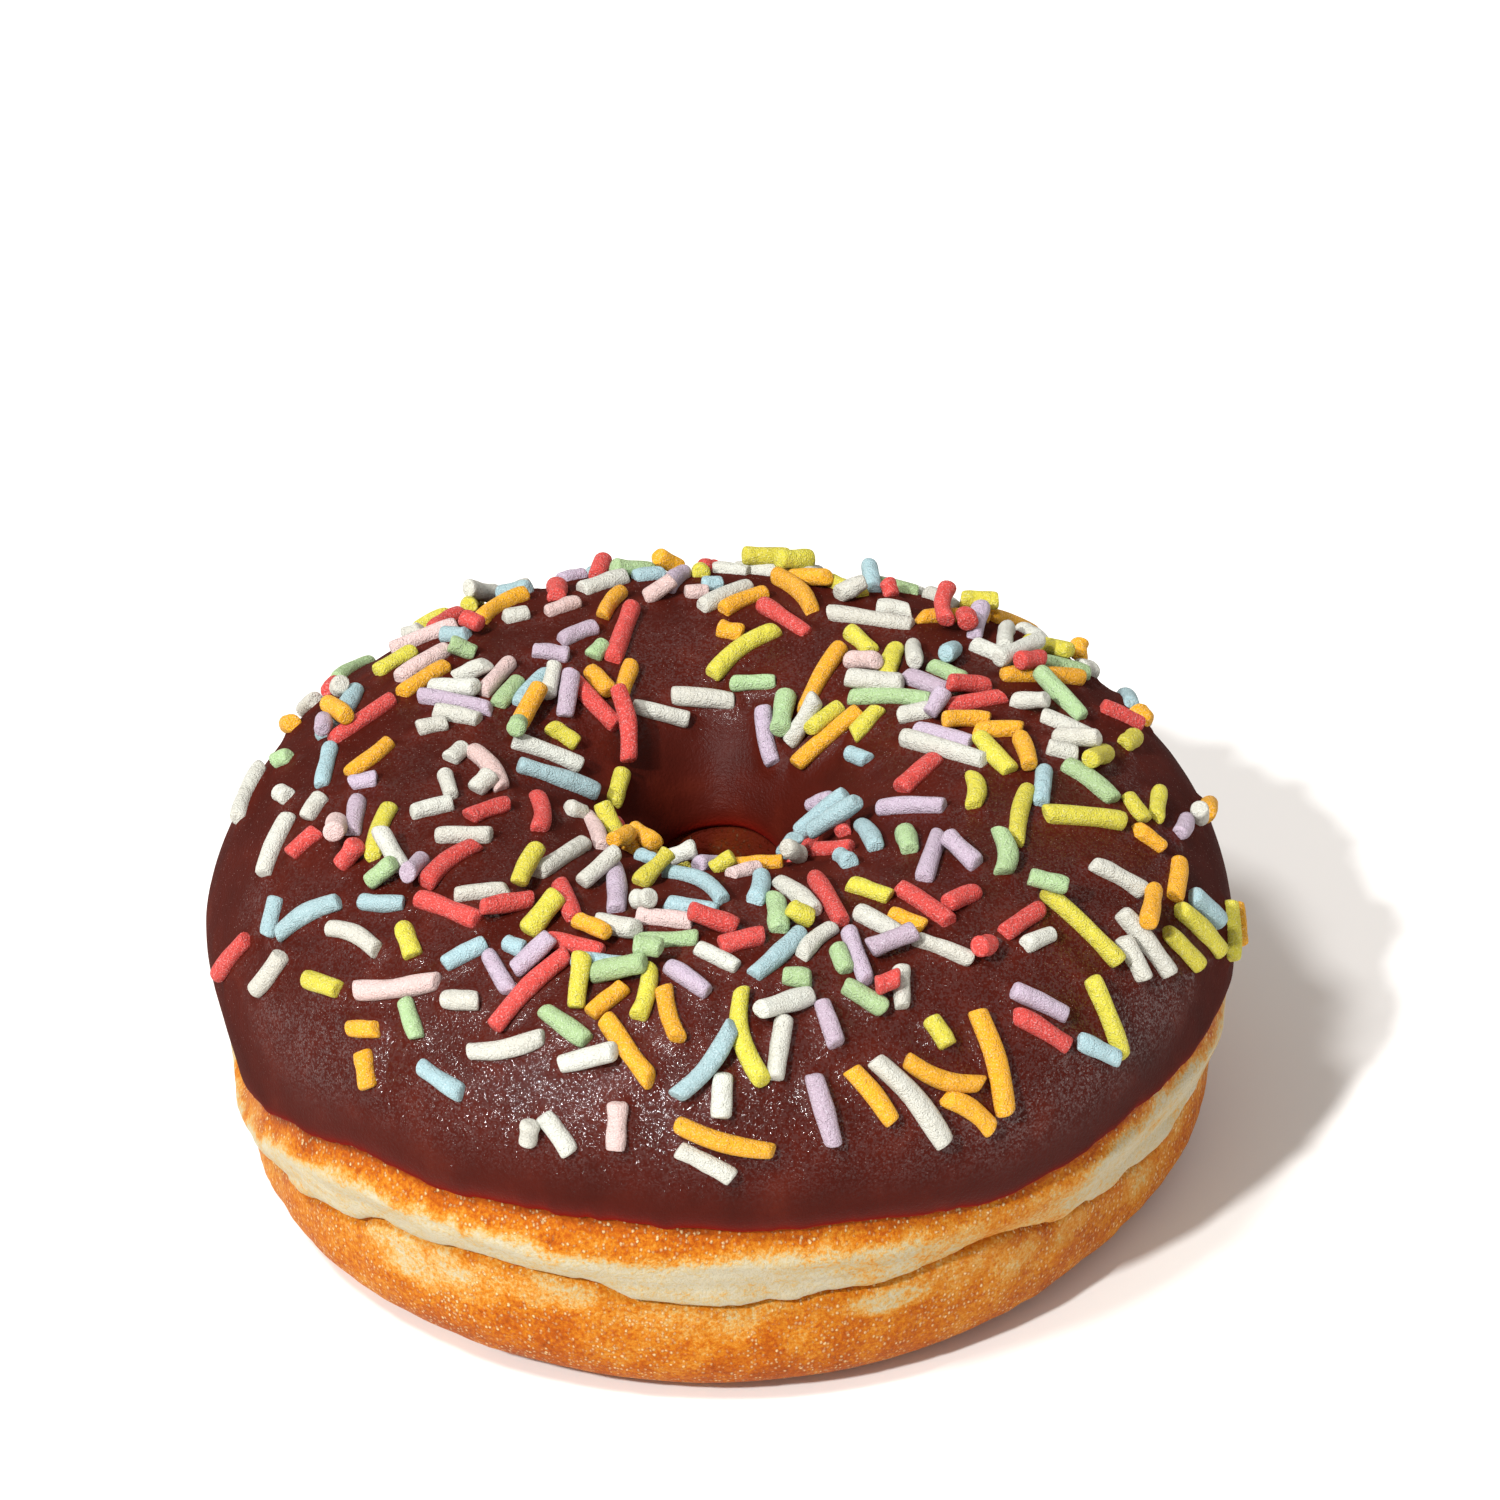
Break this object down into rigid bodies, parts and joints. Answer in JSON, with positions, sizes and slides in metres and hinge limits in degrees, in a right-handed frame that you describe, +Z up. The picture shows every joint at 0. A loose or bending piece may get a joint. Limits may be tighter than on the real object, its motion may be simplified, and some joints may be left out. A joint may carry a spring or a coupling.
{
  "type": "sprinkle frosted doughnut",
  "caption": "Raised ring doughnut with a pale band and fold round its side, dipped in chocolate frosting and covered with coloured rod sprinkles.",
  "frame": {"origin": "on the axis of the hole, in the plane that the ring stands on", "axes": "+Z up, out of the frosted top along the axis of the hole; -Y faces the side usually seen"},
  "size_m": [0.0952, 0.0945, 0.0438],
  "materials": {
    "fried_dough": "golden fried crust, pale where the dough never met the oil",
    "chocolate_frosting": "satin set chocolate with chalky pastel sprinkles"
  },
  "bodies": {
    "root": {"dough_ring": "fried_dough", "chocolate_frosting": "chocolate_frosting"}
  },
  "joints": []
}
